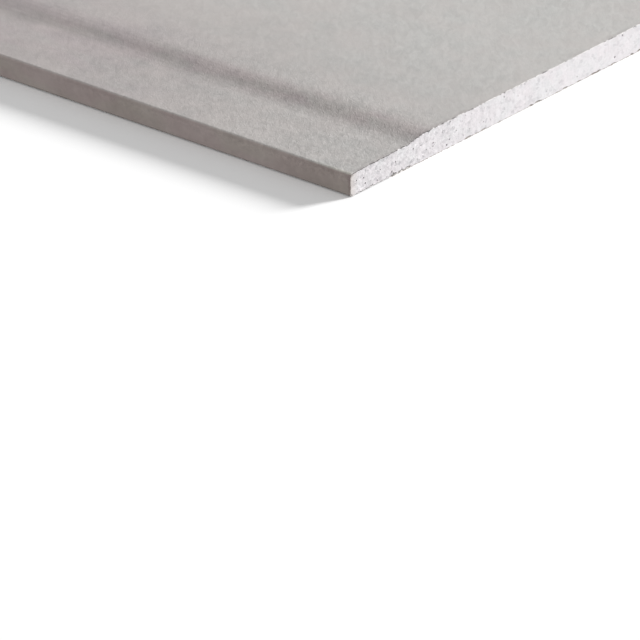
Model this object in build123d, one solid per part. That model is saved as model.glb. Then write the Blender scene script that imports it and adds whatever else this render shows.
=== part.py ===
from build123d import *
from math import atan2, tan
import os

# Paper-faced gypsum board (drywall sheet), 1200 x 2400 x 12.5 mm, with tapered long edges and sawn ends.
#
# The board is made as a continuous ribbon and sawn to length, so every piece is one cross-section run
# along X. The section lies in the YZ plane: the back of the board is at Z = 0 and the face is up.
#
# A sheet is three bonded pieces:
#   gypsum_core   the cast plaster slab, bare at the two sawn ends
#   face_paper    the liner that covers the face, turns down both long edges and laps onto the back
#   back_paper    the liner on the back, whose margins are glued down over the two laps

# The sheet, in millimetres
length = 2400.0
width = 1200.0
thickness = 12.5

# The two paper liners
face_liner = 0.35
back_liner = 0.35

# The tapered long edge, from the edge inwards: a shelf for joint tape, then a ramp up to the face
shelf_width = 33.0
shelf_fall = 0.3
ramp_run = 18.0
ramp_rise = 1.7
ramp_straight = 1.0

# The arrises of the core that the face paper is turned over, at the face and at the back
face_arris = 0.85
back_arris = 0.65

# The face paper turned onto the back: the margin left in view, then the stretch under the back paper
bare_margin = 25.0
glued_overlap = 13.0


def ramp_bends():
    """The places and radii of the ramp's two long bends: at its foot on the shelf, and at its head."""
    foot_y = shelf_width + ramp_run / 4
    head_y = foot_y + ramp_run / 2
    room = (ramp_run / 2 - ramp_straight) / 2

    ramp_slope = atan2(ramp_rise, head_y - foot_y)
    shelf_slope = atan2(shelf_fall, foot_y)
    foot_bend = room / tan((ramp_slope - shelf_slope) / 2)
    head_bend = room / tan(ramp_slope / 2)
    return foot_y, foot_bend, head_y, head_bend


def wrapped_outline():
    """The section of core and face paper together: everything inside the outer side of the face paper."""
    shelf_top = thickness - ramp_rise
    edge_top = shelf_top - shelf_fall
    foot_y, foot_bend, head_y, head_bend = ramp_bends()

    # One half, as distance in from the long edge, height, and the radius of the corner there
    half = [
        (0.0, back_liner, back_arris + face_liner),
        (0.0, edge_top, face_arris + face_liner),
        (foot_y, shelf_top, foot_bend),
        (head_y, thickness, head_bend),
    ]
    near_half = [(inwards - width / 2, z, radius) for inwards, z, radius in half]
    far_half = [(-y, z, radius) for y, z, radius in reversed(near_half)]
    corners = near_half + far_half

    with BuildSketch(Plane.YZ) as sketch:
        with BuildLine():
            FilletPolyline(
                *[(y, z) for y, z, _ in corners],
                radius=[radius for _, _, radius in corners],
                close=True,
            )
        make_face()
    return sketch.sketch


def strip(inset, low, high):
    """A rectangle of the section that stays inset from both long edges, between two heights."""
    with BuildSketch(Plane.YZ) as sketch:
        with Locations((0, (low + high) / 2)):
            Rectangle(width - 2 * inset, high - low)
    return sketch.sketch


def cross_section():
    """The section of each piece, by node name."""
    outline = wrapped_outline()
    inside_wrap = offset(outline, amount=-face_liner)
    between_laps = strip(bare_margin + glued_overlap, back_liner, back_liner + face_liner)
    return {
        "gypsum_core": inside_wrap + between_laps,
        "face_paper": outline - inside_wrap - between_laps,
        "back_paper": strip(bare_margin, 0.0, back_liner),
    }


def run_along_length(section):
    """The solid that a section makes over the whole length of the sheet, centred on X = 0."""
    return extrude(section, amount=length / 2, dir=(1, 0, 0), both=True)


os.makedirs("parts", exist_ok=True)
for node, section in cross_section().items():
    piece = run_along_length(section)
    piece.label = node
    export_step(piece, f"parts/{node}.step")
    print(node, "volume", round(piece.volume / 1e6, 3), "litres")
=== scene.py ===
# %% [markdown]
# A drywall sheet, seen close at one corner
#
# A drywall sheet is a slab of foamed plaster between two papers. The face paper turns down both long edges
# and laps onto the back, and each long edge has a recess for joint tape. The two ends are sawn, so the bare
# plaster shows there, with its grain and its air bubbles.
#
# The construction, with the real sizes, is loaded as a fixed frame. This lesson gives it its looks: papers
# with ragged cut edges, plaster with real pits, and a material for each. Lengths are in metres.

# %% Load the frame
import math
from collections import namedtuple

import bmesh
import bpy
from mathutils import Matrix, Vector


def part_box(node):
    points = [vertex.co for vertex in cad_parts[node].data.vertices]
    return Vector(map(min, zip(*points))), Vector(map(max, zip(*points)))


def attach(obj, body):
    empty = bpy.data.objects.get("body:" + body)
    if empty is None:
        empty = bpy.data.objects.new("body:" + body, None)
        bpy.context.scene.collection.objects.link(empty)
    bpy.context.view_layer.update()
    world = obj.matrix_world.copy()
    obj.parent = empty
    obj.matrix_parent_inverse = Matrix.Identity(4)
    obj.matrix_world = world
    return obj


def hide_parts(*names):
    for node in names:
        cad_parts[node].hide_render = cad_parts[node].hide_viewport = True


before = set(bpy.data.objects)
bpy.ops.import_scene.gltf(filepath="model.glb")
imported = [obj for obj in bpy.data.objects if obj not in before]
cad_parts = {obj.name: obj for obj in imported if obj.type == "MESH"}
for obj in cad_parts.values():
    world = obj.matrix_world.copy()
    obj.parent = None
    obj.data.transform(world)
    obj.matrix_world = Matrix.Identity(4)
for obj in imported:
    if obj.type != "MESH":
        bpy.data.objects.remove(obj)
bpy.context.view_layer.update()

MM = 0.001
print("pieces of the construction:", sorted(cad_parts))

# %% [markdown]
# What the frame says
#
# Every size that the looks need is read from the frame, so a change of the construction is followed. The
# sheet lies with its back on the floor. Its length runs along X, its width along Y, and its face looks up.

# %% Sizes of the sheet
core_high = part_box("gypsum_core")[1]
wrap_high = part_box("face_paper")[1]
back_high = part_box("back_paper")[1]

half_length = wrap_high.x
half_width = wrap_high.y
face_height = wrap_high.z
face_liner = wrap_high.z - core_high.z
back_liner = back_high.z
print(f"sheet {2 * half_length:.3f} x {2 * half_width:.3f} m, face at {face_height / MM:.2f} mm")
print(f"liners {face_liner / MM:.2f} and {back_liner / MM:.2f} mm")

# %% [markdown]
# Reading a section from the frame
#
# Every piece of the sheet is one section run along its length, so its end face says all of its shape. The
# section could be written down again here, but then it would no longer follow the construction. The frame's
# mesh is loose triangles, so a copy is merged, and the border of its end face is walked round once.

# %% The border of an end face
merge_distance = 0.001 * MM


def merged_copy(node):
    """A bmesh of a node of the frame, with its loose triangles joined."""
    shape = bmesh.new()
    shape.from_mesh(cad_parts[node].data)
    bmesh.ops.remove_doubles(shape, verts=shape.verts, dist=merge_distance)
    return shape


def end_border(node):
    """The border of the node's end face at +X: its (y, z) points in order, with the inside on the left."""
    shape = merged_copy(node)
    caps = {face for face in shape.faces if face.normal.x > 0.9}
    border = [edge for edge in shape.edges if len(caps.intersection(edge.link_faces)) == 1]
    beside = {}
    for edge in border:
        for vert in edge.verts:
            beside.setdefault(vert, []).append(edge.other_vert(vert))
    # From each point to the next, and never straight back, until the start is reached again
    start = next(iter(beside))
    walk, here, before = [start], beside[start][0], start
    while here is not start:
        walk.append(here)
        ahead = beside[here][0] if beside[here][0] is not before else beside[here][1]
        here, before = ahead, here
    points = [Vector((vert.co.y, vert.co.z)) for vert in walk]
    shape.free()
    twice_area = sum(a.cross(b) for a, b in zip(points, points[1:] + points[:1]))
    return points if twice_area > 0 else points[::-1]


# %% Places that the section shows
by_the_edge = 2 * MM

wrap_border = end_border("face_paper")
back_border = end_border("back_paper")
arris_height = max(p.y for p in wrap_border if half_width - abs(p.x) < by_the_edge)
recess_width = min(half_width - abs(p.x) for p in wrap_border if face_height - p.y < merge_distance)
print("points round the section of the face paper:", len(wrap_border))
print(f"the shelf meets the long edge at {arris_height / MM:.2f} mm")
print(f"the recess reaches {recess_width / MM:.2f} mm in from the long edge")

# %% [markdown]
# The camera
#
# The photograph is taken with a long lens from far off: its parallel edges stay nearly parallel. It looks
# at the corner where a long edge meets a sawn end, from 25 degrees above the floor. A camera could be moved
# about by eye until it fits. Here it is placed from four facts that can be read off the photograph: the
# angles, the distance, the scale, and the pixel where the corner is seen.

# %% Camera at the photograph's angle
azimuth = math.radians(39.73)
elevation = math.radians(25.06)
roll = math.radians(0.19)
distance = 8.0
pixels_per_metre = 2427.0
image_size = 640
corner_pixel = Vector((350.75, 174.7))
sensor_width = 36.0
sight_reach = 200.0

back_axis = Vector((math.sin(azimuth) * math.cos(elevation), -math.cos(azimuth) * math.cos(elevation),
                    math.sin(elevation)))
level_axis = Vector((math.cos(azimuth), math.sin(azimuth), 0.0))
steep_axis = back_axis.cross(level_axis)
right_axis = level_axis * math.cos(roll) - steep_axis * math.sin(roll)
up_axis = level_axis * math.sin(roll) + steep_axis * math.cos(roll)

corner = Vector((half_length, -half_width, arris_height))
aside = (corner_pixel.x - image_size / 2) / pixels_per_metre
above = (image_size / 2 - corner_pixel.y) / pixels_per_metre

camera_data = bpy.data.cameras.new("camera")
camera_data.sensor_width = sensor_width
camera_data.lens = sensor_width * pixels_per_metre * distance / image_size
camera_data.clip_end = sight_reach
camera = bpy.data.objects.new("camera", camera_data)
turned = Matrix((right_axis, up_axis, back_axis)).transposed().to_4x4()
camera.matrix_world = Matrix.Translation(
    corner - aside * right_axis - above * up_axis + distance * back_axis) @ turned
bpy.context.scene.collection.objects.link(camera)
bpy.context.scene.camera = camera
bpy.context.scene.view_settings.view_transform = "Standard"
print(f"lens {camera_data.lens:.0f} mm, camera at {[round(v, 3) for v in camera.location]}")

# %% [markdown]
# A helper for nodes
#
# Materials and Geometry Nodes are both trees of nodes. Each node could be added and linked in lines of its
# own, but then a tree takes pages. One helper adds a node, sets it up and wires its inputs, so that a tree
# reads as a list of what it does. An input is a number or another node's output. It goes by its name, or by
# its place in the node's list where several have the same name, as the numbers of a Math node do.

# %% Adding a node
def wire(tree, socket, value):
    """Gives a socket its value, or links it to another node's output."""
    if isinstance(value, bpy.types.NodeSocket):
        tree.links.new(value, socket)
    else:
        socket.default_value = value


def add(tree, kind, settings=None, inputs=None, output=0):
    """Adds a node and returns one of its outputs."""
    node = tree.nodes.new(kind)
    for name, value in (settings or {}).items():
        setattr(node, name, value)
    for name, value in (inputs or {}).items():
        wire(tree, node.inputs[name], value)
    return node.outputs[output] if node.outputs else node


def sums(tree, operation, first, second=0.0, third=0.0):
    """A Math node, for both kinds of tree."""
    return add(tree, "ShaderNodeMath", {"operation": operation}, {0: first, 1: second, 2: third})


def product(tree, *factors):
    """All the factors multiplied, in their order."""
    value = factors[0]
    for factor in factors[1:]:
        value = sums(tree, "MULTIPLY", value, factor)
    return value


def spread(tree, value, low, high, new_low=0.0, new_high=1.0, smooth=False):
    """A Map Range node: value from low to high becomes new_low to new_high, and stops there."""
    settings = {"interpolation_type": "SMOOTHSTEP" if smooth else "LINEAR", "clamp": True}
    return add(tree, "ShaderNodeMapRange", settings, {0: value, 1: low, 2: high, 3: new_low, 4: new_high})


# %% [markdown]
# Light
#
# The photograph is lit by a soft window-like light, low and from the far side of the sheet. It rakes
# across the face, so the ramp of the recess turns away from it and reads as a dark band. The long edge has
# only the light of the room, with a little more from the front, which keeps its rounded arris light. An
# area lamp could give this too, but its light falls off along a sheet of 2.4 m. Sun lamps with a wide angle
# are as strong all over the sheet. The aim is that the face and the sawn end get a plain light of about 1.

# %% Key light and fill light
def soft_sun(name, toward, width):
    """A sun lamp, so many degrees wide. toward is the light it adds to a surface facing +X, +Y and +Z."""
    toward = Vector(toward)
    lamp = bpy.data.lights.new(name, "SUN")
    lamp.energy = toward.length * math.pi
    lamp.angle = math.radians(width)
    holder = bpy.data.objects.new(name, lamp)
    holder.rotation_mode = "QUATERNION"
    holder.rotation_quaternion = toward.to_track_quat("Z", "Y")
    bpy.context.scene.collection.objects.link(holder)
    steepness = math.degrees(math.asin(toward.z / toward.length))
    print(f"{name}: strength {lamp.energy:.2f}, {steepness:.0f} degrees up")


soft_sun("key", toward=(0.60, 1.28, 0.50), width=14)
soft_sun("fill", toward=(0.00, -0.20, 0.06), width=40)

# %% [markdown]
# The room and its floor
#
# The room is white to the camera and lights the sheet from all sides. The floor is a plain pale studio
# floor, nearly white to the camera, which keeps the shadow of the sheet. More light would whiten both too,
# but it would bleach the sheet with them. Light Path tells what the camera sees from light that only
# bounces, so both are pale to the eye and a mid grey as a light. Otherwise the floor would brighten the
# long edge too much.

# %% What the camera sees
def seen_directly(tree):
    """A mask: 1 for the camera's rays, straight, mirrored or through glass, and 0 for bounced light."""
    paths = tree.nodes.new("ShaderNodeLightPath").outputs
    straight_or_mirrored = sums(tree, "MAXIMUM", paths["Is Camera Ray"], paths["Is Glossy Ray"])
    return sums(tree, "MAXIMUM", straight_or_mirrored, paths["Is Transmission Ray"])


# %% Room light
room_light = 0.44
room_seen = 1.0

world = bpy.data.worlds.new("room")
bpy.context.scene.world = world
world.use_nodes = True
room = world.node_tree
room.nodes.clear()
strength = spread(room, seen_directly(room), 0.0, 1.0, room_light, room_seen)
sky = add(room, "ShaderNodeBackground", None, {"Color": (1.0, 1.0, 1.0, 1.0), "Strength": strength})
add(room, "ShaderNodeOutputWorld", None, {"Surface": sky})
print("room light", room_light, "and to the camera", room_seen)

# %% Pale floor
floor_reach = 150.0
floor_seen = 0.98
floor_glow = 0.05
floor_bounce = 0.40

floor_mesh = bpy.data.meshes.new("floor")
floor_mesh.from_pydata(
    [(x * floor_reach, y * floor_reach, 0.0) for x, y in ((-1, -1), (1, -1), (1, 1), (-1, 1))],
    [], [(0, 1, 2, 3)])
floor = bpy.data.objects.new("floor", floor_mesh)
bpy.context.scene.collection.objects.link(floor)

floor_material = bpy.data.materials.new("floor")
floor_material.use_nodes = True
floor_tree = floor_material.node_tree
floor_tree.nodes.clear()
seen = seen_directly(floor_tree)
shade = spread(floor_tree, seen, 0.0, 1.0, floor_bounce, floor_seen)
plain = add(floor_tree, "ShaderNodeBsdfDiffuse", None, {"Color": shade})
glow = add(floor_tree, "ShaderNodeEmission", None, {"Strength": product(floor_tree, seen, floor_glow)})
both = add(floor_tree, "ShaderNodeAddShader", None, {0: plain, 1: glow})
add(floor_tree, "ShaderNodeOutputMaterial", None, {"Surface": both})
floor_mesh.materials.append(floor_material)
print(f"floor {2 * floor_reach:.0f} m square")

# %% [markdown]
# Effects that both papers share
#
# An effect that several materials have could be built again in each. A group of nodes is built once, has
# named inputs, and is used in each material with its own values, so a mend to it reaches them all. A group
# gives out only masks and heights: the shader stays in the material.

# %% Making a group of nodes
def shader_group(name, sizes, results):
    """An empty shader group: its tree, the sockets of its inputs and the sockets of its results."""
    tree = bpy.data.node_groups.new(name, "ShaderNodeTree")
    for label, value in sizes.items():
        kind = "NodeSocketVector" if value is None else "NodeSocketFloat"
        socket = tree.interface.new_socket(label, in_out="INPUT", socket_type=kind)
        if value is not None:
            socket.default_value = value
    for label in results:
        tree.interface.new_socket(label, in_out="OUTPUT", socket_type="NodeSocketFloat")
    given = tree.nodes.new("NodeGroupInput")
    result = tree.nodes.new("NodeGroupOutput")
    return tree, given.outputs, result.inputs


def grouped(tree, group, inputs):
    """Places a group in a material, and returns its outputs."""
    node = tree.nodes.new("ShaderNodeGroup")
    node.node_tree = group
    for name, value in inputs.items():
        wire(tree, node.inputs[name], value)
    return node.outputs


def lump(tree, place, size, detail=2.0, roughness=0.5, distortion=0.0):
    """Noise with lumps of this size, which may be a socket. It swings about 0, mostly from -1 to 1."""
    scale = sums(tree, "DIVIDE", 1.0, size)
    inputs = {"Vector": place, "Scale": scale, "Detail": detail, "Roughness": roughness,
              "Distortion": distortion}
    value = add(tree, "ShaderNodeTexNoise", None, inputs)
    return spread(tree, value, 0.25, 0.75, -1.0, 1.0)


def drawn_out(tree, place, shares):
    """The place with each axis scaled: a share under 1 draws a pattern out along that axis."""
    return add(tree, "ShaderNodeVectorMath", {"operation": "MULTIPLY"}, {0: place, 1: shares})


def near_end(tree, from_end, reach):
    """A mask: 1 at the sawn end, and 0 from this reach on."""
    return spread(tree, sums(tree, "DIVIDE", from_end, reach), 0.0, 1.0, 1.0, 0.0)


# %% [markdown]
# Paper felt
#
# Recycled paper is a felt of short fibres with cloudy patches, warm and cool. Both papers have it, each at
# its own scale. Fibres could be strewn as thin hairs, but they are finer than a pixel, so what shows is
# only that the paper isn't even. Noise of several sizes gives that, with the finest lumps turned and drawn
# out as the fibres lie.

# %% Group of nodes: paper felt
fibre_turn = math.radians(-50)
fibre_stretch = (2.2, 1.0, 1.0)
tint_shift = (3.1, 7.7, 1.3)


def paper_felt():
    """Fibres, flecks, clouds and a warm or cool tint, all swinging about 0."""
    tree, given, result = shader_group(
        "paper_felt",
        {"Vector": None, "Fibre Size": 1.3 * MM, "Fleck Size": 3.2 * MM, "Cloud Size": 28 * MM},
        ["Fibres", "Flecks", "Clouds", "Tint"])
    place, cloud_size = given["Vector"], given["Cloud Size"]
    askew = add(tree, "ShaderNodeMapping", {"vector_type": "TEXTURE"},
                {"Vector": place, "Rotation": (0, 0, fibre_turn), "Scale": fibre_stretch})
    wire(tree, result["Fibres"], lump(tree, askew, given["Fibre Size"], 2.0, 0.6, 1.0))
    wire(tree, result["Flecks"], lump(tree, askew, given["Fleck Size"], 2.0, 0.45, 1.0))

    near_clouds = lump(tree, place, cloud_size, 3.0, 0.6)
    wide_clouds = product(tree, lump(tree, place, product(tree, cloud_size, 6.0), 1.0), 0.5)
    wire(tree, result["Clouds"], sums(tree, "MULTIPLY_ADD", near_clouds, 0.6, wide_clouds))

    elsewhere = add(tree, "ShaderNodeVectorMath", {"operation": "ADD"}, {0: place, 1: tint_shift})
    near_tint = lump(tree, elsewhere, product(tree, cloud_size, 0.7), 3.0, 0.6)
    wide_tint = product(tree, lump(tree, elsewhere, product(tree, cloud_size, 4.0), 2.0), 0.6)
    wire(tree, result["Tint"], sums(tree, "MULTIPLY_ADD", near_tint, 0.7, wide_tint))
    return tree


felt_group = paper_felt()
print("shared effect:", felt_group.name)

# %% [markdown]
# Plaster dust
#
# The saw leaves white plaster dust in the cut ends of both papers, and a little of it on the paper beside
# the cut. It could be strewn as grains, but at this distance it is only a whiter patch. So the group gives
# a mask that is patchy and fades within a few millimetres of the sawn end.

# %% Group of nodes: plaster dust
def plaster_dust():
    """How white with plaster dust a surface is, from 0 to 1, by its depth in from the sawn end."""
    tree, given, result = shader_group(
        "plaster_dust",
        {"Vector": None, "Half Length": half_length, "Reach": 1.0 * MM, "Amount": 0.5,
         "Patch Size": 2.0 * MM},
        ["Dust"])
    along = add(tree, "ShaderNodeSeparateXYZ", None, {"Vector": given["Vector"]}, "X")
    from_end = sums(tree, "SUBTRACT", given["Half Length"], sums(tree, "ABSOLUTE", along))
    patches = lump(tree, given["Vector"], given["Patch Size"], 3.0, 0.6)
    level = sums(tree, "MULTIPLY_ADD", given["Amount"], 2.0, -1.0)
    kept = spread(tree, sums(tree, "ADD", patches, level), -0.25, 0.25)
    wire(tree, result["Dust"], product(tree, kept, near_end(tree, from_end, given["Reach"])))
    return tree


dust_group = plaster_dust()
print("shared effect:", dust_group.name)

# %% [markdown]
# The colour of a surface as a sum of effects
#
# A material here starts from one plain colour. Each effect then mixes in another colour by its mask, or
# makes the colour lighter or darker by a few percent. Colour ramps could do the same, but they hide their
# numbers in the node. Two helpers keep them in the lines below.

# %% Helpers for colour
def mix(tree, mask, below, above):
    """The colour below where the mask is 0, and the one above where it is 1."""
    node = tree.nodes.new("ShaderNodeMix")
    node.data_type = "RGBA"
    wire(tree, node.inputs["Factor"], mask)
    # The node has an A, a B and a Result for each kind of data: these are the ones for colours
    wire(tree, node.inputs[6], (*below, 1.0) if isinstance(below, tuple) else below)
    wire(tree, node.inputs[7], (*above, 1.0) if isinstance(above, tuple) else above)
    return node.outputs[2]


def toned(tree, colour, swing, share):
    """The colour made lighter or darker by a share, as swing goes from -1 to 1."""
    factor = sums(tree, "MULTIPLY_ADD", swing, share, 1.0)
    return add(tree, "ShaderNodeVectorMath", {"operation": "SCALE"}, {0: colour, "Scale": factor})


# %% Helpers for a material
def new_material(name):
    """A new material, its tree, its surface shader, and the Texture Coordinate outputs in it."""
    material = bpy.data.materials.new(name)
    material.use_nodes = True
    tree = material.node_tree
    return material, tree, tree.nodes["Principled BSDF"], tree.nodes.new("ShaderNodeTexCoord").outputs


def matt_surface(tree, shader, colour, roughness, gloss, relief, depth):
    """Gives the shader its colour, its plain values, and a bump whose full swing is this deep."""
    wire(tree, shader.inputs["Base Color"], colour)
    shader.inputs["Roughness"].default_value = roughness
    shader.inputs["Specular IOR Level"].default_value = gloss
    raised = add(tree, "ShaderNodeBump", None, {"Strength": 1.0, "Distance": depth, "Height": relief})
    wire(tree, shader.inputs["Normal"], raised)


# %% [markdown]
# Where a point lies on the sheet
#
# Wear, making, painted shade and a painted highlight leave their marks by place: so far in from the long
# edge, so far under the arris, so near the saw. Such masks could be painted, but paint has to be done again
# when a size changes. A spot holds the few distances that the marks go by. It is worked out from a point's
# place in the same way for a material and for Geometry Nodes.

# %% Spots on the sheet
Spot = namedtuple("Spot", "place from_edge past_recess from_end height under_arris")


def spot_on_sheet(tree, place):
    """The distances of a place: in from the long edge, past the recess, in from the sawn end, and so on."""
    axes = add(tree, "ShaderNodeSeparateXYZ", None, {"Vector": place}).node.outputs
    from_edge = sums(tree, "SUBTRACT", half_width, sums(tree, "ABSOLUTE", axes["Y"]))
    past_recess = sums(tree, "SUBTRACT", from_edge, recess_width)
    from_end = sums(tree, "SUBTRACT", half_length, sums(tree, "ABSOLUTE", axes["X"]))
    under_arris = sums(tree, "SUBTRACT", arris_height, axes["Z"])
    return Spot(place, from_edge, past_recess, from_end, axes["Z"], under_arris)


def face_side(tree, spot):
    """A mask: 0 on the lower side of the sheet, and 1 on the face's side."""
    return spread(tree, spot.height, 0.40 * face_height, 0.64 * face_height)


def cut_by_saw(tree, normal):
    """A mask: 1 on a surface that looks along the sheet, as the sawn one does."""
    along = add(tree, "ShaderNodeSeparateXYZ", None, {"Vector": normal}, "X")
    return spread(tree, sums(tree, "ABSOLUTE", along), 0.55, 0.75)


# %% [markdown]
# Face paper: its grey, and painted shade on it
#
# The face liner is light grey recycled paper, matt. Towards a long edge the face is painted darker in faint
# streaks along the sheet, and less so near the sawn end: this is painted shade, for light that falls off
# away from a near lamp. One wide and soft gradient alone would look like a curved face, so it is broken
# into streaks.

# %% Painted shade over the face
paper_grey = (0.518, 0.514, 0.499)
shade_and_smudge_grey = (0.200, 0.165, 0.165)

along_sheet = (0.2, 1.0, 1.0)
edge_shade_reach = 190 * MM
end_light_reach = 180 * MM
shade_by_end, shade_further_in = 0.21, 0.44
streak_size = 16 * MM
streak_strength = (0.82, 1.18)


def shaded_towards_edge(tree, spot, colour):
    """Painted shade by the distance in from the long edge, lighter near the sawn end, in faint streaks
    along the sheet.
    """
    streaks = lump(tree, drawn_out(tree, spot.place, along_sheet), streak_size, 3.0, 0.6)
    streaks = spread(tree, streaks, -1.0, 1.0, *streak_strength)
    by_edge = spread(tree, spot.from_edge, 0.0, edge_shade_reach, 1.0, 0.0, smooth=True)
    by_end = spread(tree, spot.from_end, 0.0, end_light_reach, shade_by_end, shade_further_in)
    # Painted shade: darker towards the long edge and further in from the sawn end, as light falls off from
    # a near lamp
    return mix(tree, product(tree, by_edge, streaks, by_end), colour, shade_and_smudge_grey)


# %% [markdown]
# Face paper: the recess and its painted shade
#
# The belts press the recess into the soft sheet. The ramp itself is a real shape that shades in the raking
# light, and the material deepens that with painted shade: a darker band of grey and mauve patches. A pink
# blush lies in the recess, and it starts well in from the sawn end. Near the end the band lies further in,
# and it is pinker.

# %% Painted shade of the ramp, and blush
ramp_shade_mauve = (0.205, 0.138, 0.155)
ramp_shade_grey = (0.170, 0.158, 0.150)
blush_pink = (0.395, 0.352, 0.358)

in_dashes = (0.5, 1.0, 1.0)
recess_fades = (-4.5 * MM, 29.5 * MM)
band_settles = 200 * MM
band_middle = (-3.0 * MM, -12.3 * MM)
band_reach = (12 * MM, 15 * MM)
band_strength = (0.33, 0.53)
band_patch_size = 9 * MM
mauve_patch_size = 10 * MM
mauve_by_end = (6 * MM, 26 * MM)
blush_patch_size = 10 * MM
blush_strength = (0.45, 1.35)
blush_starts = (80 * MM, 170 * MM)
blush_fades = (450 * MM, 900 * MM)


def in_recess(tree, spot):
    """A mask: 1 in the recess, fading out on the face beyond it."""
    return spread(tree, spot.past_recess, *recess_fades, 1.0, 0.0, smooth=True)


def ramp_shade_band(tree, spot):
    """A mask: the band of painted shade along the ramp, soft on both sides."""
    middle = spread(tree, spot.from_end, 0.0, band_settles, *band_middle)
    reach = spread(tree, spot.from_end, 0.0, band_settles, *band_reach)
    off_middle = sums(tree, "ABSOLUTE", sums(tree, "SUBTRACT", spot.past_recess, middle))
    return spread(tree, off_middle, 0.0, reach, 1.0, 0.0, smooth=True)


def shaded_ramp(tree, spot, colour):
    """The ramp painted darker as shade, in grey and mauve patches, and mostly mauve close to the sawn end.
    """
    uneven = lump(tree, drawn_out(tree, spot.place, along_sheet), band_patch_size, 2.0)
    uneven = spread(tree, uneven, -1.0, 1.0, *band_strength)
    mauve = lump(tree, drawn_out(tree, spot.place, in_dashes), mauve_patch_size, 1.0)
    by_end = spread(tree, spot.from_end, *mauve_by_end, 0.8, 0.0)
    mauve = sums(tree, "MAXIMUM", spread(tree, mauve, -0.25, 0.35), by_end)
    # Painted shade: the ramp darker, in grey and mauve patches
    band = product(tree, ramp_shade_band(tree, spot), face_side(tree, spot), uneven)
    return mix(tree, band, colour, mix(tree, mauve, ramp_shade_grey, ramp_shade_mauve))


def blushed(tree, spot, colour):
    """Patches of pink in the recess, from well in from the sawn end, and fainter in the sheet's middle."""
    patches = lump(tree, drawn_out(tree, spot.place, along_sheet), blush_patch_size, 1.0)
    patches = spread(tree, patches, -0.35, 0.35, *blush_strength)
    starts = spread(tree, spot.from_end, *blush_starts, 0.0, 0.55)
    fades = spread(tree, spot.from_end, *blush_fades, 1.0, 0.5)
    return mix(tree, product(tree, in_recess(tree, spot), patches, starts, fades), colour, blush_pink)


# %% [markdown]
# Face paper: the long edge and its arris
#
# The paper is one sheet over the face and round the long edges. The upright edges are painted darker and
# browner than the face, in faint brown and mauve patches: painted shade for the upright sides. Just under
# the arris they are painted darker still, which is painted shade too. The face beside the arris is painted
# lighter
# and yellower, most of all at the corner: a painted highlight with a tint of worn fibres. A material could
# find the arris by how sharply the mesh bends there, but that changes with the mesh. The height under the
# arris doesn't.

# %% Shaded edge and highlighted arris
edge_shade_brown = (0.367, 0.323, 0.294)
edge_shade_mauve = (0.366, 0.301, 0.289)
painted_shade_brown = (0.200, 0.150, 0.145)
arris_highlight = (0.560, 0.540, 0.480)

arris_turn = (0.08 * MM, 0.62 * MM)
edge_strip = (0.2 * MM, 3 * MM)
edge_patch_size = 13 * MM
mauve_grows = (5 * MM, 60 * MM)
shaded_strip = (1.0 * MM, 2.6 * MM)
highlight_strip = (0.4 * MM, 2.4 * MM)
highlight_corner = (4 * MM, 22 * MM)


def below_arris(tree, spot):
    """A mask: 0 above the arris and 1 below it, turning within the bend of the paper."""
    return spread(tree, spot.under_arris, *arris_turn, smooth=True)


def on_long_edge(tree, spot):
    """A mask: 1 on the upright long edge."""
    return product(tree, below_arris(tree, spot), spread(tree, spot.from_edge, *edge_strip, 1.0, 0.0))


def shaded_brown_edge(tree, spot, colour):
    """The long edge painted darker as shade, in brown and mauve patches, fewer near the sawn end, and
    painted darkest under the arris.
    """
    on_edge = on_long_edge(tree, spot)
    mauve = lump(tree, drawn_out(tree, spot.place, in_dashes), edge_patch_size, 1.0)
    grows = spread(tree, spot.from_end, *mauve_grows, 0.35, 1.0)
    mauve = product(tree, spread(tree, mauve, -0.5, 0.3), grows)
    # Painted shade: the upright edge darker and browner than the face
    colour = mix(tree, on_edge, colour, mix(tree, mauve, edge_shade_brown, edge_shade_mauve))
    # Painted shade: darker still just under the arris
    shaded = spread(tree, spot.under_arris, *shaded_strip, 0.22, 0.0, smooth=True)
    return mix(tree, product(tree, on_edge, shaded), colour, painted_shade_brown)


def highlighted_arris(tree, spot, colour):
    """The strip of the face beside the arris painted lighter and yellower, most of all at the corner: a
    painted highlight with a tint of worn fibres.
    """
    beside = spread(tree, spot.from_edge, *highlight_strip, 1.0, 0.0, smooth=True)
    at_corner = spread(tree, spot.from_end, *highlight_corner, 0.8, 0.15)
    above_arris = sums(tree, "SUBTRACT", 1.0, below_arris(tree, spot))
    # Painted highlight: the face beside the arris lighter and a little yellower
    return mix(tree, product(tree, beside, at_corner, above_arris), colour, arris_highlight)


# %% [markdown]
# Face paper: the rim by the saw
#
# Within a few millimetres of the sawn end, the last two millimetres of the long edge are painted darker:
# painted shade, where the paper rounds the corner. The rim of the face, where the paper is most handled,
# has faint smudges, fewer away from the recess. Both are mixed in over the colours before, so that they lie
# on top of them.

# %% Shaded corner and smudged rim
corner_shade_strip = (0.3 * MM, 2.4 * MM)
smudge_size = 5 * MM
smudged_strip = (0.6 * MM, 3.2 * MM)
smudges_fade = (9.5 * MM, 59.5 * MM)


def shaded_edge_corner(tree, spot, colour):
    """The last two millimetres of the long edge by the sawn end, darker: painted shade."""
    by_end = spread(tree, spot.from_end, *corner_shade_strip, 0.55, 0.0, smooth=True)
    # Painted shade: the long edge darker at its corner by the sawn end
    return mix(tree, product(tree, on_long_edge(tree, spot), by_end), colour, painted_shade_brown)


def smudged(tree, spot, colour):
    """Smudges on the last three millimetres of the face."""
    smudges = spread(tree, lump(tree, spot.place, smudge_size, 2.0), -0.5, 0.6, 0.0, 0.30)
    by_end = spread(tree, spot.from_end, *smudged_strip, 1.0, 0.0, smooth=True)
    by_recess = spread(tree, spot.past_recess, *smudges_fade, 1.0, 0.55)
    return mix(tree, product(tree, smudges, face_side(tree, spot), by_end, by_recess), colour, shade_and_smudge_grey)


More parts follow.
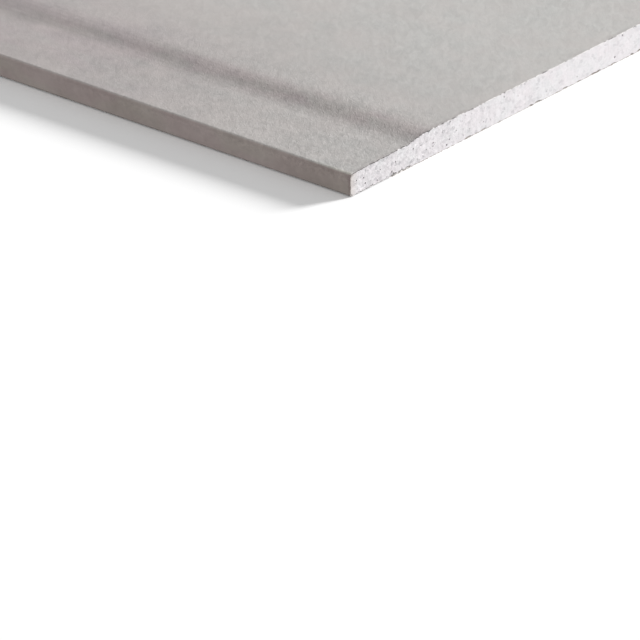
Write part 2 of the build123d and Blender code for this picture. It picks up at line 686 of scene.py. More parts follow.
# %% [markdown]
# Face paper: its felt
#
# The fine felt of the paper shows in the raking light, and more so in the recess near the sawn end, where
# the belts left it rougher. Real relief would need millions of faces, and a deep bump breaks into streaks
# in so low a light. So the felt is mostly a change of colour, with a bump of a few thousandths of a
# millimetre.

# %% Felt of the face
warm_grey = (0.560, 0.498, 0.480)

pressed_felt_settles = (40 * MM, 210 * MM)
raised_felt_reach = (20 * MM, 160 * MM)
fibre_tone, fleck_tone, cloud_tone = 0.030, 0.078, 0.034


def felted(tree, spot, felt, colour):
    """The colour with the felt in it, and the height of the fibres for the bump."""
    pressed_felt = product(tree, in_recess(tree, spot),
                           spread(tree, spot.from_end, *pressed_felt_settles, 1.0, 0.12))
    raised_felt = spread(tree, spot.from_end, *raised_felt_reach, 0.14, 0.0)
    on_ramp = sums(tree, "MULTIPLY_ADD", ramp_shade_band(tree, spot), 0.3, 1.0)
    coarse = product(tree, sums(tree, "MAXIMUM", pressed_felt, raised_felt), face_side(tree, spot), on_ramp)
    fibres = product(tree, felt["Fibres"], sums(tree, "MULTIPLY_ADD", coarse, 5.0, 1.0))
    flecks = product(tree, felt["Flecks"], sums(tree, "MULTIPLY_ADD", coarse, 0.5, 1.0))
    colour = toned(tree, colour, fibres, fibre_tone)
    colour = toned(tree, colour, flecks, fleck_tone)
    colour = toned(tree, colour, felt["Clouds"], cloud_tone)
    warm = spread(tree, felt["Tint"], -0.5, 0.5, 0.0, 0.30)
    return mix(tree, warm, colour, warm_grey), fibres


# %% [markdown]
# Face paper: cut plies and dust
#
# At the sawn ends the cut plies of the paper are dark grey, or white where dust fills them. The cut is
# whiter beyond the recess, beside the corner of the long edge and low on that edge, and on the long edge
# its dust is cream. A little dust lies on the face beside the cut too. The cut could be a piece of its own,
# but it is the same paper, so it is found by its normal instead.

# %% Cut plies of the face paper
ply_grey = (0.150, 0.142, 0.138)
dust_white = (0.860, 0.835, 0.820)
cut_cream = (0.730, 0.672, 0.640)

whiter_past_recess = (-5.5 * MM, 24.5 * MM)
whiter_by_corner = (1.5 * MM, 9 * MM)
whiter_under_arris = (0.4 * MM, 1.2 * MM)
whiter_low_down = (1 * MM, 2 * MM)


def cut_and_dusted(tree, spot, normal, colour):
    """The dark cut plies at the sawn end, and the dust on and beside them."""
    cut = cut_by_saw(tree, normal)
    colour = mix(tree, cut, colour, ply_grey)

    by_corner = product(tree, spread(tree, spot.from_edge, *whiter_by_corner, 0.9, 0.0),
                        spread(tree, spot.under_arris, *whiter_under_arris, 0.1, 1.0))
    on_cut = spread(tree, spot.past_recess, *whiter_past_recess, 0.34, 0.62)
    on_cut = sums(tree, "MAXIMUM", on_cut, by_corner)
    on_cut = sums(tree, "MAXIMUM", on_cut, spread(tree, spot.height, *whiter_low_down, 0.60, 0.0))
    on_face = spread(tree, spot.past_recess, *whiter_past_recess, 0.30, 0.12)

    cut_dust = grouped(tree, dust_group, {"Vector": spot.place, "Reach": 5 * MM, "Patch Size": 3.5 * MM,
                                          "Amount": on_cut})
    face_dust = grouped(tree, dust_group, {"Vector": spot.place, "Reach": 1.1 * MM, "Patch Size": 1.2 * MM,
                                           "Amount": on_face})
    dust = add(tree, "ShaderNodeMix", None, {0: cut, 2: face_dust["Dust"], 3: cut_dust["Dust"]})
    return mix(tree, dust, colour, mix(tree, on_long_edge(tree, spot), dust_white, cut_cream))


# %% Material of the face paper
def face_paper_material():
    """The face paper's effects, laid over each other: painted shade, the ramp's painted shade and blush,
    the edge's painted shade and highlight, smudges, felt, and the cut last.
    """
    material, tree, shader, where = new_material("grey_paper")
    spot = spot_on_sheet(tree, where["Object"])
    felt = grouped(tree, felt_group, {"Vector": spot.place})
    colour = paper_grey
    for effect in (shaded_towards_edge, shaded_ramp, blushed, shaded_brown_edge, highlighted_arris, shaded_edge_corner, smudged):
        colour = effect(tree, spot, colour)
    colour, fibres = felted(tree, spot, felt, colour)
    colour = cut_and_dusted(tree, spot, where["Normal"], colour)
    matt_surface(tree, shader, colour, roughness=0.85, gloss=0.25, relief=fibres, depth=0.007 * MM)
    return material


face_paper_finish = face_paper_material()
print("material", face_paper_finish.name, "of", len(face_paper_finish.node_tree.nodes), "nodes")

# %% [markdown]
# Back paper
#
# The back liner is brown-grey kraft paper from recycled pulp, matt and coarser than the face. The sheet
# lies on it, so its marks of wear aren't known, and it is finished plainly. A second felt could be made for
# it, but the same one at a larger scale, with a deeper bump, looks rougher at once. The same dust whitens
# its cut ends.

# %% Material of the back paper
kraft_brown = (0.365, 0.325, 0.285)


def back_paper_material():
    """Kraft paper: coarse felt, and dust on the cut ends."""
    material, tree, shader, where = new_material("kraft_paper")
    place = where["Object"]
    felt = grouped(tree, felt_group, {"Vector": place, "Fibre Size": 2.0 * MM, "Cloud Size": 45 * MM,
                                      "Fleck Size": 4.5 * MM})
    colour = toned(tree, kraft_brown, felt["Fibres"], 0.12)
    colour = toned(tree, colour, felt["Flecks"], 0.08)
    colour = toned(tree, colour, felt["Clouds"], 0.05)
    cut_dust = grouped(tree, dust_group, {"Vector": place, "Reach": 5 * MM, "Patch Size": 2.4 * MM,
                                          "Amount": 0.5})
    dusted = product(tree, cut_by_saw(tree, where["Normal"]), cut_dust["Dust"])
    colour = mix(tree, dusted, colour, dust_white)
    matt_surface(tree, shader, colour, roughness=0.9, gloss=0.2, relief=felt["Fibres"], depth=0.05 * MM)
    return material


back_paper_finish = back_paper_material()
print("material", back_paper_finish.name, "of", len(back_paper_finish.node_tree.nodes), "nodes")

# %% [markdown]
# Plaster grain
#
# Sawn plaster breaks between its crystals, so it looks like sugar: grains of about half a millimetre, some
# bright and some in shade, with faint upright marks of the saw. The larger forms of the sawn end are cut
# into the mesh further on. The grain is too fine for that, so it is noise. The dark specks are the cells of
# a cell texture, of which only a share is filled, and a little noise bends their straight sides.

# %% Group of nodes: plaster grain
squat = (1.0, 0.72, 1.0)
upright = (1.0, 1.0, 0.15)
saw_mark_size = 1.6 * MM
bend_size = 0.7 * MM
bend_reach = (0.5 * MM, 0.5 * MM, 0.5 * MM)


def plaster_grain():
    """The sugary look of broken plaster, swinging about 0, and its dark specks, from 0 to 1."""
    tree, given, result = shader_group(
        "plaster_grain",
        {"Vector": None, "Grain Size": 1.1 * MM, "Speck Size": 1.2 * MM, "Speck Share": 0.2,
         "Cloud Size": 5 * MM},
        ["Grain", "Specks", "Clouds", "Saw Marks"])
    place = given["Vector"]
    sawn = drawn_out(tree, place, squat)
    wire(tree, result["Grain"], lump(tree, sawn, given["Grain Size"], 3.0, 0.7))
    wire(tree, result["Clouds"], lump(tree, sawn, given["Cloud Size"], 3.0, 0.65))
    wire(tree, result["Saw Marks"], lump(tree, drawn_out(tree, place, upright), saw_mark_size, 2.0, 0.6))

    bend = add(tree, "ShaderNodeTexNoise", None,
               {"Vector": sawn, "Scale": 1.0 / bend_size, "Detail": 1.0}, "Color")
    bent = add(tree, "ShaderNodeVectorMath", {"operation": "MULTIPLY_ADD"},
               {0: bend, 1: bend_reach, 2: sawn})
    cells = add(tree, "ShaderNodeTexVoronoi", {"feature": "F1"},
                {"Vector": bent, "Scale": sums(tree, "DIVIDE", 1.0, given["Speck Size"])}, "Color")
    lot = add(tree, "ShaderNodeSeparateXYZ", None, {"Vector": cells}, "X")
    darkness = sums(tree, "DIVIDE", sums(tree, "SUBTRACT", given["Speck Share"], lot), given["Speck Share"])
    wire(tree, result["Specks"], spread(tree, darkness, 0.0, 1.0))
    return tree


grain_group = plaster_grain()
print("effect of the plaster:", grain_group.name)

# %% [markdown]
# Plaster
#
# Set plaster is white with a cool cast, matt, with faint patches that are a little pinker or paler. Towards
# the long edges its grain is stronger and it is painted greyer, which is painted shade for light that falls
# off there. Beside them it is stained cream, and at the very corner it is worn brown. The air bubbles are
# real holes in the mesh, and the shader also paints shade into their insides, darker with depth, beyond the
# shade the holes cast. It could be told by an attribute where they are, but how far in from the sawn end a
# point lies says the same.

# %% Material of the plaster
plaster_rose = (0.815, 0.779, 0.796)
plaster_pale = (0.801, 0.787, 0.798)
speck_and_shade_grey = (0.530, 0.515, 0.532)
plaster_shade = (0.330, 0.318, 0.322)
plaster_cream = (0.640, 0.575, 0.530)
worn_brown = (0.300, 0.268, 0.245)

field_reach = (20 * MM, 130 * MM)
patch_size = 7 * MM
strong_grain = (15 * MM, 85 * MM)
faint_grain = (70 * MM, 140 * MM)
stain_reach = (0.6 * MM, 5.5 * MM)
worn_under_arris = (0.6 * MM, 1.6 * MM)
worn_reach = (0.8 * MM, 3.6 * MM)
hole_depth = (0.20 * MM, 1.00 * MM)


def stained_and_worn(tree, spot, colour):
    """The cream stain beside the long edge, and the worn corner at the arris."""
    colour = mix(tree, spread(tree, spot.from_edge, *stain_reach, 0.52, 0.0), colour, plaster_cream)
    worn = product(tree, spread(tree, spot.under_arris, *worn_under_arris, 1.0, 0.0),
                   spread(tree, spot.from_edge, *worn_reach, 0.75, 0.0))
    return mix(tree, worn, colour, worn_brown)


def plaster_material():
    """White plaster: its patches, grain, specks, stains, and painted shade towards the long edges and
    inside its pits.
    """
    material, tree, shader, where = new_material("plaster")
    spot = spot_on_sheet(tree, where["Object"])
    grain = grouped(tree, grain_group, {"Vector": spot.place})
    strength = product(tree, spread(tree, spot.from_edge, *strong_grain, 1.55, 0.9),
                       spread(tree, spot.from_edge, *faint_grain, 1.0, 0.6))

    patches = spread(tree, lump(tree, spot.place, patch_size, 2.0), -0.5, 0.5)
    colour = mix(tree, patches, plaster_rose, plaster_pale)
    colour = toned(tree, colour, product(tree, grain["Grain"], strength), 0.12)
    colour = toned(tree, colour, product(tree, grain["Clouds"], strength), 0.09)
    colour = toned(tree, colour, grain["Saw Marks"], 0.02)
    colour = mix(tree, product(tree, grain["Specks"], strength, 0.60), colour, speck_and_shade_grey)
    # Painted shade: greyer towards the long edges, as light falls off there
    colour = mix(tree, spread(tree, spot.from_edge, *field_reach, 0.20, 0.0), colour, speck_and_shade_grey)
    colour = stained_and_worn(tree, spot, colour)
    # Painted shade: the pits darker with depth, more than their own shadows make them
    inside = product(tree, spread(tree, spot.from_end, *hole_depth),
                     spread(tree, spot.from_edge, *field_reach, 0.75, 0.55))
    colour = mix(tree, inside, colour, plaster_shade)

    relief = sums(tree, "MULTIPLY_ADD", grain["Grain"], 0.5, product(tree, grain["Clouds"], 0.7))
    relief = sums(tree, "SUBTRACT", relief, grain["Specks"])
    relief = sums(tree, "MULTIPLY_ADD", grain["Saw Marks"], 0.2, relief)
    relief = product(tree, relief, strength)
    matt_surface(tree, shader, colour, roughness=0.95, gloss=0.2, relief=relief, depth=0.055 * MM)
    return material


plaster_finish = plaster_material()
print("material", plaster_finish.name, "of", len(plaster_finish.node_tree.nodes), "nodes")

# %% [markdown]
# Papers with a cut edge
#
# A paper is a ribbon: a line across the sheet, given the paper's thickness and run along the length. The
# construction's own mesh could be cut finer, but its long thin triangles come out uneven. The saw tears the
# paper, so its ends need many small steps across the width, about as small as a grain of the plaster, while
# one long step is enough for the 2.4 m in between. A ribbon built row by row has just that: its rows crowd
# together at the ends.

# %% The line of a paper
length_slack = 0.02
square_slack = 0.1


def outer_line(border, liner):
    """The longer way round a paper's border between its cut edges, with the sheet's inside on the left."""
    count = len(border)
    steps = [border[(i + 1) % count] - border[i] for i in range(count)]

    def is_cut_edge(i):
        """A cut edge is as long as the paper is thick, and stands square to both its neighbours."""
        beside = steps[i - 1].normalized(), steps[(i + 1) % count].normalized()
        along = steps[i].normalized()
        as_thick = abs(steps[i].length - liner) < length_slack * liner
        return as_thick and all(abs(along.dot(other)) < square_slack for other in beside)

    first, second = [i for i in range(count) if is_cut_edge(i)]
    one_way = [border[i] for i in range(first + 1, second + 1)]
    other_way = [border[i % count] for i in range(second + 1, first + count + 1)]

    def run(line):
        """The length of a line."""
        return sum((b - a).length for a, b in zip(line, line[1:]))

    return one_way if run(one_way) > run(other_way) else other_way


def in_small_steps(line, step):
    """The same line with points added, so that no two are further apart than a step."""
    fine = []
    for a, b in zip(line, line[1:]):
        parts = max(1, math.ceil((b - a).length / step))
        fine += [a.lerp(b, i / parts) for i in range(parts)]
    return fine + [line[-1]]


# %% A ribbon run along the sheet
rows_from_end = [0.0, 0.25 * MM, 0.6 * MM, 1.2 * MM, 2.5 * MM, 10.0 * MM]


def ribbon(name, outer, liner):
    """A closed ribbon of paper along the sheet. outer runs so that the sheet's inside is on its left."""
    inner = []
    for i, here in enumerate(outer):
        along = (outer[min(i + 1, len(outer) - 1)] - outer[max(i - 1, 0)]).normalized()
        inner.append(here + Vector((-along.y, along.x)) * liner)
    loop = outer + inner[::-1]
    stations = [d - half_length for d in rows_from_end] + [half_length - d for d in reversed(rows_from_end)]
    verts = [(x, p.x, p.y) for x in stations for p in loop]
    count, side = len(loop), len(outer)
    faces = []
    # All round the paper, from each row of points to the next
    for row in range(len(stations) - 1):
        for i in range(count):
            a, b = row * count + i, row * count + (i + 1) % count
            faces.append((a, b, b + count, a + count))
    # The two sawn ends, with one face for each step of the line
    last = (len(stations) - 1) * count
    for i in range(side - 1):
        j = count - 1 - i
        faces.append((i + 1, i, j, j - 1))
        faces.append((last + i, last + i + 1, last + j - 1, last + j))
    mesh = bpy.data.meshes.new(name)
    mesh.from_pydata(verts, [], faces)
    mesh.update()
    piece = bpy.data.objects.new(name, mesh)
    bpy.context.scene.collection.objects.link(piece)
    return piece


# %% The two papers
cut_step = 0.6 * MM

wrap_line = in_small_steps(outer_line(wrap_border, face_liner), cut_step)
back_line = in_small_steps(outer_line(back_border, back_liner), cut_step)
wrap = ribbon("paper_wrap", wrap_line, face_liner)
backing = ribbon("paper_back", back_line, back_liner)
print("steps round the face paper:", len(wrap_line) - 1, "and across the back paper:", len(back_line) - 1)

# %% [markdown]
# Geometry Nodes from a script
#
# A tree of Geometry Nodes changes a mesh by rules, with sizes that stay open to change. It could stay on
# the piece as a modifier, but then each later step would have to work it out again. So each tree is run
# once on its piece, and what it gives is kept as a plain mesh.

# %% Helpers for Geometry Nodes
def geometry_tree(name, sizes):
    """An empty Geometry Nodes tree with these named inputs: the tree, its inputs and its output."""
    tree = bpy.data.node_groups.new(name, "GeometryNodeTree")
    tree.interface.new_socket("Geometry", in_out="INPUT", socket_type="NodeSocketGeometry")
    for label, value in sizes.items():
        kind = "NodeSocketMaterial" if value is None else "NodeSocketFloat"
        kind = "NodeSocketInt" if isinstance(value, int) else kind
        socket = tree.interface.new_socket(label, in_out="INPUT", socket_type=kind)
        if value is not None:
            socket.default_value = value
    tree.interface.new_socket("Geometry", in_out="OUTPUT", socket_type="NodeSocketGeometry")
    given = tree.nodes.new("NodeGroupInput")
    made = tree.nodes.new("NodeGroupOutput")
    return tree, given.outputs, made.inputs["Geometry"]


def end_tree(tree, made, geometry, material):
    """Ends a tree: Realize Instances, because instances alone are no mesh yet, and Set Material."""
    real = add(tree, "GeometryNodeRealizeInstances", None, {"Geometry": geometry})
    wire(tree, made, add(tree, "GeometryNodeSetMaterial", None, {"Geometry": real, "Material": material}))


def run_tree(piece, tree, values):
    """Runs a tree on a piece with these values, and leaves the result as the piece's plain mesh."""
    modifier = piece.modifiers.new(tree.name, "NODES")
    modifier.node_group = tree
    for item in tree.interface.items_tree:
        if item.in_out == "INPUT" and item.name in values:
            modifier[item.identifier] = values[item.name]
    evaluated = piece.evaluated_get(bpy.context.evaluated_depsgraph_get())
    mesh = bpy.data.meshes.new_from_object(evaluated)
    piece.modifiers.remove(modifier)
    piece.data = mesh


def spot_of_point(tree):
    """In a Geometry Nodes tree: where each point lies on the sheet."""
    return spot_on_sheet(tree, add(tree, "GeometryNodeInputPosition"))


def moved_in(tree, geometry, *factors):
    """The geometry moved in from the nearer sawn end by the product of the factors."""
    place = add(tree, "GeometryNodeInputPosition")
    outward = sums(tree, "SIGN", add(tree, "ShaderNodeSeparateXYZ", None, {"Vector": place}, "X"))
    offset = add(tree, "ShaderNodeCombineXYZ", None, {"X": product(tree, *factors, outward, -1.0)})
    return add(tree, "GeometryNodeSetPosition", None, {"Geometry": geometry, "Offset": offset})


# %% [markdown]
# Tearing the cut edges
#
# The saw doesn't leave paper with a straight edge: fibres tear out and the edge is left ragged by a few
# tenths of a millimetre, and deeper in the recess. A Displace modifier would need its strength painted
# point by point. Geometry Nodes work out which points are near an end, and move them by noise that depends
# on the place. So the same tree tears both papers, and a value in it can be turned without touching the
# mesh code.

# %% Geometry Nodes: ragged cut
deep_tears_start = (3 * MM, 9 * MM)
deep_tears_end = (4.5 * MM, 29.5 * MM)


def ragged_cut():
    """Draws a paper back from each sawn end in long and short tears, and further in the recess."""
    tree, given, made = geometry_tree(
        "ragged_cut",
        {"Tear Depth": 0.45 * MM, "Reach": 2.0 * MM, "Long Tears": 3.0 * MM, "Short Tears": 0.9 * MM,
         "Tear In Recess": 0.55 * MM, "Material": None})
    spot = spot_of_point(tree)
    long_tears = product(tree, lump(tree, spot.place, given["Long Tears"], 2.0), 0.5)
    short_tears = product(tree, lump(tree, spot.place, given["Short Tears"], 2.0, 0.8), 0.8)
    ragged = spread(tree, sums(tree, "ADD", long_tears, short_tears), -0.7, 0.9)
    near = near_end(tree, spot.from_end, given["Reach"])
    loose = product(tree, face_side(tree, spot), spread(tree, spot.from_edge, *deep_tears_start),
                    spread(tree, spot.past_recess, *deep_tears_end, 1.0, 0.0), given["Tear In Recess"])
    deep = sums(tree, "ADD", given["Tear Depth"], loose)
    torn = moved_in(tree, given["Geometry"], ragged, near, deep)
    end_tree(tree, made, torn, given["Material"])
    return tree


# %% The two papers torn
smooth_below = math.radians(40)

ragged_tree = ragged_cut()
run_tree(wrap, ragged_tree, {"Material": face_paper_finish})
run_tree(backing, ragged_tree, {"Material": back_paper_finish})
for piece, node, finish in ((wrap, "face_paper", "face_liner"), (backing, "back_paper", "back_liner")):
    piece.data.shade_smooth()
    piece.data.set_sharp_from_angle(angle=smooth_below)
    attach(piece, "root")
    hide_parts(node)
    print(piece.name, "has", len(piece.data.polygons), "faces")

# %% [markdown]
# The slab before its bubbles
#
# The slab is the plaster between the papers, and its two ends are flat. Hundreds of holes could be cut in
# one large face, but such a face is slow to cut and falls into long thin triangles. So a copy of the core
# is cut into small cells at its ends first, about as large as a bubble. Only a thin layer at each end gets
# them: in between, each strip of the skin runs on in one length.

# %% A slab with cells at its ends
cell_width = 1.5 * MM
cell_height = 1.3 * MM
cell_depth = 3.0 * MM
cut_slack = 1e-7
side_slack = 1e-6


def all_of(shape):
    """Every point, edge and face of a shape."""
    return shape.verts[:] + shape.edges[:] + shape.faces[:]


def cut_square(shape, part, axis, where):
    """Cuts a part of the shape square to an axis, and returns what of it lies past the cut."""
    across = Vector((0, 0, 0))
    across[axis] = 1.0
    result = bmesh.ops.bisect_plane(shape, geom=part, dist=cut_slack, plane_co=across * where,
                                    plane_no=across)
    return [item for item in result["geom"]
            if all(vert.co[axis] > where - side_slack for vert in getattr(item, "verts", [item]))]


def plaster_slab():
    """A copy of the core, its ends cut into small cells so that many holes can be cut in each."""
    shape = merged_copy("gypsum_core")
    for side in (-1, 1):
        cut_square(shape, all_of(shape), 0, side * (half_length - cell_depth))
    for row in range(1, round(face_height / cell_height)):
        cut_square(shape, all_of(shape), 2, row * cell_height)
    # Each column is cut out of only what lies past the one before it, which saves most of the time
    uncut = all_of(shape)
    for column in range(1, round(2 * half_width / cell_width)):
        uncut = cut_square(shape, uncut, 1, column * cell_width - half_width)
    mesh = bpy.data.meshes.new("plaster_slab")
    shape.to_mesh(mesh)
    shape.free()
    piece = bpy.data.objects.new("plaster_slab", mesh)
    bpy.context.scene.collection.objects.link(piece)
    return piece


slab = plaster_slab()
print("cells before the bubbles:", len(slab.data.polygons))

# %% [markdown]
# Air bubbles
#
# The plaster is foamed, so a sawn end is full of cut bubbles, from pinholes to a millimetre and more
# across. There are flat voids under the papers, where air was trapped, and long ones under the face paper
# in the recess and over the back paper. A bump map could paint them, but their rims are crisp and their
# insides catch the light, which only real holes do. Geometry Nodes strew small spheres over the two ends
# and along their borders, and a Mesh Boolean cuts them out of the slab.

# %% Random numbers in a tree
def random_number(tree, low, high, seed):
    """A number for each point, drawn evenly between two."""
    settings = {"data_type": "FLOAT"}
    return add(tree, "FunctionNodeRandomValue", settings, {2: low, 3: high, "Seed": seed}, 1)


def random_vector(tree, low, high, seed):
    """A vector for each point, drawn evenly between two."""
    settings = {"data_type": "FLOAT_VECTOR"}
    return add(tree, "FunctionNodeRandomValue", settings, {0: low, 1: high, "Seed": seed}, 0)


def all_but(tree, kept, seed):
    """A mask of the points to leave out, so that about this share of them is kept."""
    return sums(tree, "GREATER_THAN", random_number(tree, 0.0, 1.0, seed), kept)


# %% Bubbles at points
least_size, most_size = 0.45, 1.15
least_long, most_long = 1.1, 2.0


def bubbles(tree, points, radius, across, sunk, seed, fineness=2, turn=0.6):
    """Spheres at the points, each with its own size, stretch, turn and share of its radius sunk.

    across holds the least and the most that a bubble is stretched in width and height.
    """
    (least_wide, least_high), (most_wide, most_high) = across
    sphere = add(tree, "GeometryNodeMeshIcoSphere", None, {"Radius": 1.0, "Subdivisions": fineness})
    size = random_number(tree, least_size, most_size, seed)
    stretch = random_vector(tree, (least_long, least_wide, least_high), (most_long, most_wide, most_high),
                            seed + 1)
    scale = add(tree, "ShaderNodeVectorMath", {"operation": "SCALE"},
                {0: stretch, "Scale": product(tree, size, radius)})
    turned_by = add(tree, "ShaderNodeCombineXYZ", None, {"X": random_number(tree, -turn, turn, seed + 2)})
    placed = moved_in(tree, points, size, radius, random_number(tree, *sunk, seed + 3))
    return add(tree, "GeometryNodeInstanceOnPoints", None,
               {"Points": placed, "Instance": sphere, "Rotation": turned_by, "Scale": scale})


def looks_along(tree, least):
    """A mask of the faces that look along the sheet, as its sawn ends do."""
    along = add(tree, "ShaderNodeSeparateXYZ", None, {"Vector": add(tree, "GeometryNodeInputNormal")}, "X")
    return sums(tree, "GREATER_THAN", sums(tree, "ABSOLUTE", along), least)


# %% Points along the borders of the sawn ends
void_jitter = Vector((0.0, 1.0 * MM, 0.08 * MM))
recess_voids_start = (8 * MM, 10 * MM)
recess_voids_end = (1.5 * MM, 15.5 * MM)
back_voids_start = (6 * MM, 16 * MM)
recess_void_share = 0.75
back_void_share = 0.42


def border_of_ends(tree, body, is_end):
    """A curve round each sawn end: the edges that have just one face once the ends stand alone."""
    ends = add(tree, "GeometryNodeSeparateGeometry", {"domain": "FACE"},
               {"Geometry": body, "Selection": is_end})
    face_count = add(tree, "GeometryNodeInputMeshEdgeNeighbors")
    return add(tree, "GeometryNodeMeshToCurve", None,
               {"Mesh": ends, "Selection": sums(tree, "LESS_THAN", face_count, 1.5)})


def beads(tree, border, spacing, left_out, seed):
    """Points along the border, without those that the mask leaves out, each a little off its place."""
    points = add(tree, "GeometryNodeCurveToPoints", {"mode": "LENGTH"},
                 {"Curve": border, "Length": spacing})
    points = add(tree, "GeometryNodeDeleteGeometry", {"domain": "POINT"},
                 {"Geometry": points, "Selection": left_out})
    jitter = random_vector(tree, -void_jitter, void_jitter, seed)
    return add(tree, "GeometryNodeSetPosition", None, {"Geometry": points, "Offset": jitter})


def share_of_long_voids(tree, spot):
    """The share of beads that become long voids, by place, and a mask of those over the back paper."""
    under_recess = product(tree, face_side(tree, spot), spread(tree, spot.from_edge, *recess_voids_start),
                           spread(tree, spot.past_recess, *recess_voids_end, 1.0, 0.0))
    over_back = product(tree, sums(tree, "SUBTRACT", 1.0, face_side(tree, spot)),
                        spread(tree, spot.from_edge, *back_voids_start))
    share_over_back = product(tree, over_back, back_void_share)
    return sums(tree, "MULTIPLY_ADD", under_recess, recess_void_share, share_over_back), over_back


# %% Geometry Nodes: air bubbles
end_facing = 0.9
most_points = 1.0e6
flat_void_share = 0.62
wider_over_back = 0.45
round_bubble = ((0.7, 0.7), (1.2, 1.1))
flat_void = ((0.8, 0.6), (2.6, 1.0))
long_void = ((2.0, 0.9), (5.0, 1.1))


def air_bubbles():
    """Cuts bubbles of three sizes out of the sawn ends, and voids of two kinds along their borders."""
    tree, given, made = geometry_tree(
        "air_bubbles",
        {"Large Spacing": 9.0 * MM, "Large Radius": 0.70 * MM, "Middle Spacing": 4.6 * MM,
         "Middle Radius": 0.46 * MM, "Pinholes": 34000.0, "Pinhole Radius": 0.26 * MM,
         "Void Spacing": 4.0 * MM, "Void Radius": 0.32 * MM, "Long Void Spacing": 4.5 * MM,
         "Long Void Radius": 0.38 * MM, "Share In Field": 0.30, "Size In Field": 0.7, "Seed": 7,
         "Material": None})
    body = given["Geometry"]
    is_end = looks_along(tree, end_facing)
    spot = spot_of_point(tree)
    share = spread(tree, spot.from_edge, *field_reach, 1.0, given["Share In Field"])
    size_here = spread(tree, spot.from_edge, *field_reach, 1.0, given["Size In Field"])

    def spaced(spacing, seed):
        """Points over the ends that keep a distance from each other."""
        return add(tree, "GeometryNodeDistributePointsOnFaces", {"distribute_method": "POISSON"},
                   {"Mesh": body, "Selection": is_end, "Distance Min": spacing, "Density Max": most_points,
                    "Density Factor": share, "Seed": seed})

    large_radius = product(tree, given["Large Radius"], size_here)
    middle_radius = product(tree, given["Middle Radius"], size_here)
    pinholes = add(tree, "GeometryNodeDistributePointsOnFaces", None,
                   {"Mesh": body, "Selection": is_end, "Density": product(tree, given["Pinholes"], share),
                    "Seed": given["Seed"]})
    border = border_of_ends(tree, body, is_end)
    left_out = all_but(tree, flat_void_share, seed=31)
    voids = beads(tree, border, given["Void Spacing"], left_out, seed=32)
    long_share, over_back = share_of_long_voids(tree, spot)
    widening = sums(tree, "MULTIPLY_ADD", over_back, wider_over_back, 1.0)
    long_radius = product(tree, given["Long Void Radius"], widening)
    long_left_out = all_but(tree, long_share, seed=33)
    long_voids = beads(tree, border, given["Long Void Spacing"], long_left_out, seed=34)

    large = spaced(given["Large Spacing"], seed=11)
    middle = spaced(given["Middle Spacing"], seed=12)
    kinds = [
        bubbles(tree, large, large_radius, round_bubble, (-0.5, 0.5), seed=41),
        bubbles(tree, middle, middle_radius, round_bubble, (-0.5, 0.5), seed=45),
        bubbles(tree, pinholes, given["Pinhole Radius"], round_bubble, (-0.5, 0.3), seed=49, fineness=1),
        bubbles(tree, voids, given["Void Radius"], flat_void, (-0.1, 0.3), seed=53),
        bubbles(tree, long_voids, long_radius, long_void, (0.1, 0.5), seed=57, turn=0.12),
    ]
    join = tree.nodes.new("GeometryNodeJoinGeometry")
    for kind in kinds:
        tree.links.new(kind, join.inputs[0])
    pitted = add(tree, "GeometryNodeMeshBoolean", {"operation": "DIFFERENCE", "solver": "MANIFOLD"},
                 {"Mesh 1": body, "Mesh 2": join.outputs[0]})
    end_tree(tree, made, pitted, given["Material"])
    return tree


run_tree(slab, air_bubbles(), {"Material": plaster_finish})
print("faces with the bubbles cut out:", len(slab.data.polygons))

# %% [markdown]
# One closed skin
#
# Where bubbles meet each other or the side of a cell, the cut leaves faces with many corners, and points
# that all but coincide. Another program may read such a mesh otherwise than Blender does. A voxel remesh
# would even it out, but it would blunt every rim. So the faces are made triangles and the close points are
# merged. Then the skin is counted over: it has to be one part, and each edge has to have just two faces.

# %% Welding the slab
weld_distance = 0.002 * MM


def count_parts(shape):
    """How many parts a shape has, where faces that share an edge belong to the same part."""
    met, parts = set(), 0
    for first in shape.faces:
        if first in met:
            continue
        met.add(first)
        parts += 1
        reached = [first]
        for face in reached:
            for edge in face.edges:
                fresh = [other for other in edge.link_faces if other not in met]
                met.update(fresh)
                reached += fresh
    return parts


def weld(piece):
    """Makes the piece's faces triangles, and merges the points that all but coincide."""
    shape = bmesh.new()
    shape.from_mesh(piece.data)
    bmesh.ops.triangulate(shape, faces=shape.faces)
    bmesh.ops.remove_doubles(shape, verts=shape.verts, dist=weld_distance)
    faulty = [edge for edge in shape.edges if len(edge.link_faces) != 2]
    print("parts of the skin:", count_parts(shape), "and edges without just two faces:", len(faulty))
    shape.to_mesh(piece.data)
    shape.free()


weld(slab)

# %% [markdown]
# Grain and waves of the sawn face
#
# A saw leaves the end a little wavy, and whole grains of plaster break out of it. Both are about a tenth of
# a millimetre deep, which the raking light still shows. The cells and the rims of the bubbles give the face
# enough points to move, so this is real relief, cut in from the flat end so that the sheet stays as long as
# it was. The tree also marks the sawn faces before it moves them, while they are still exactly flat.

# %% Geometry Nodes: sawn relief
flat_facing = 0.999
relief_in_field = 0.45


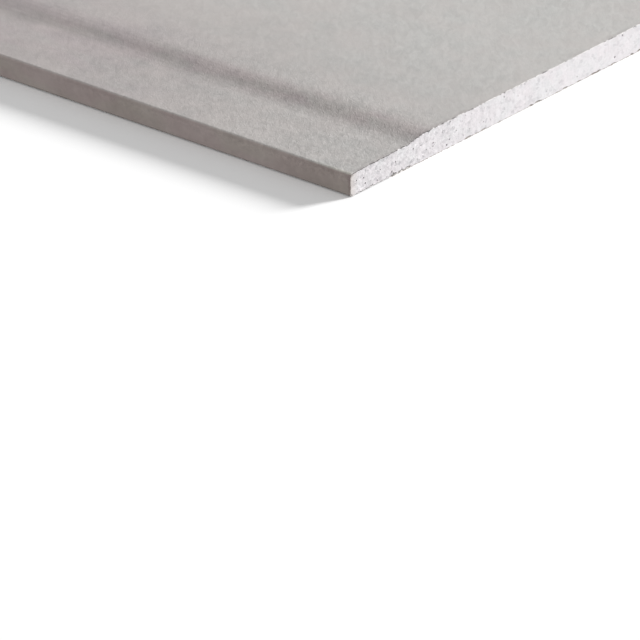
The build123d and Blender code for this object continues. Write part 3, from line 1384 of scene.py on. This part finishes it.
def sawn_relief():
    """Marks the sawn faces, and sinks the plaster near each end by grains and by the saw's waves."""
    tree, given, made = geometry_tree(
        "sawn_relief",
        {"Grain Size": 2.2 * MM, "Grain Depth": 0.16 * MM, "Wave Size": 9.0 * MM, "Wave Depth": 0.10 * MM,
         "Reach": 1.5 * MM, "Material": None})
    marked = add(tree, "GeometryNodeStoreNamedAttribute", {"data_type": "FLOAT", "domain": "FACE"},
                 {"Geometry": given["Geometry"], "Name": "sawn", "Value": looks_along(tree, flat_facing)})
    spot = spot_of_point(tree)
    grains = spread(tree, lump(tree, spot.place, given["Grain Size"], 2.0, 0.7), -0.6, 0.6)
    waves = spread(tree, lump(tree, spot.place, given["Wave Size"], 1.0), -0.6, 0.6)
    sunk = sums(tree, "ADD", product(tree, grains, given["Grain Depth"]),
                product(tree, waves, given["Wave Depth"]))
    near = near_end(tree, spot.from_end, given["Reach"])
    share = spread(tree, spot.from_edge, *field_reach, 1.0, relief_in_field)
    moved = moved_in(tree, marked, sunk, near, share)
    end_tree(tree, made, moved, given["Material"])
    return tree


run_tree(slab, sawn_relief(), {"Material": plaster_finish})
print("points of the slab with its relief:", len(slab.data.vertices))

# %% [markdown]
# Crisp rims
#
# Smooth shading blends the light over an edge. That suits the grains, but a cut bubble has a crisp rim. An
# angle alone can't tell the two apart, because a shallow bubble meets the sawn face at a low angle. The
# mark does: where one face at an edge was sawn and the other wasn't, the edge is sharp.

# %% Shading and rims of the slab
def sharpen_rims(mesh):
    """Marks the edges between the sawn faces and the rest as sharp, so that the pits keep a crisp rim."""
    sawn = [mark.value > 0.5 for mark in mesh.attributes["sawn"].data]
    sides = {}
    for face in mesh.polygons:
        for loop in face.loop_indices:
            sides.setdefault(mesh.loops[loop].edge_index, set()).add(sawn[face.index])
    for edge, kinds in sides.items():
        if len(kinds) == 2:
            mesh.edges[edge].use_edge_sharp = True
    print("sawn faces:", sum(sawn), "of", len(sawn))


slab.data.shade_smooth()
slab.data.set_sharp_from_angle(angle=smooth_below)
sharpen_rims(slab.data)
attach(slab, "root")
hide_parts("gypsum_core")
triangles = sum(len(face.vertices) - 2 for face in slab.data.polygons)
print("plaster slab with its bubbles:", triangles, "triangles")
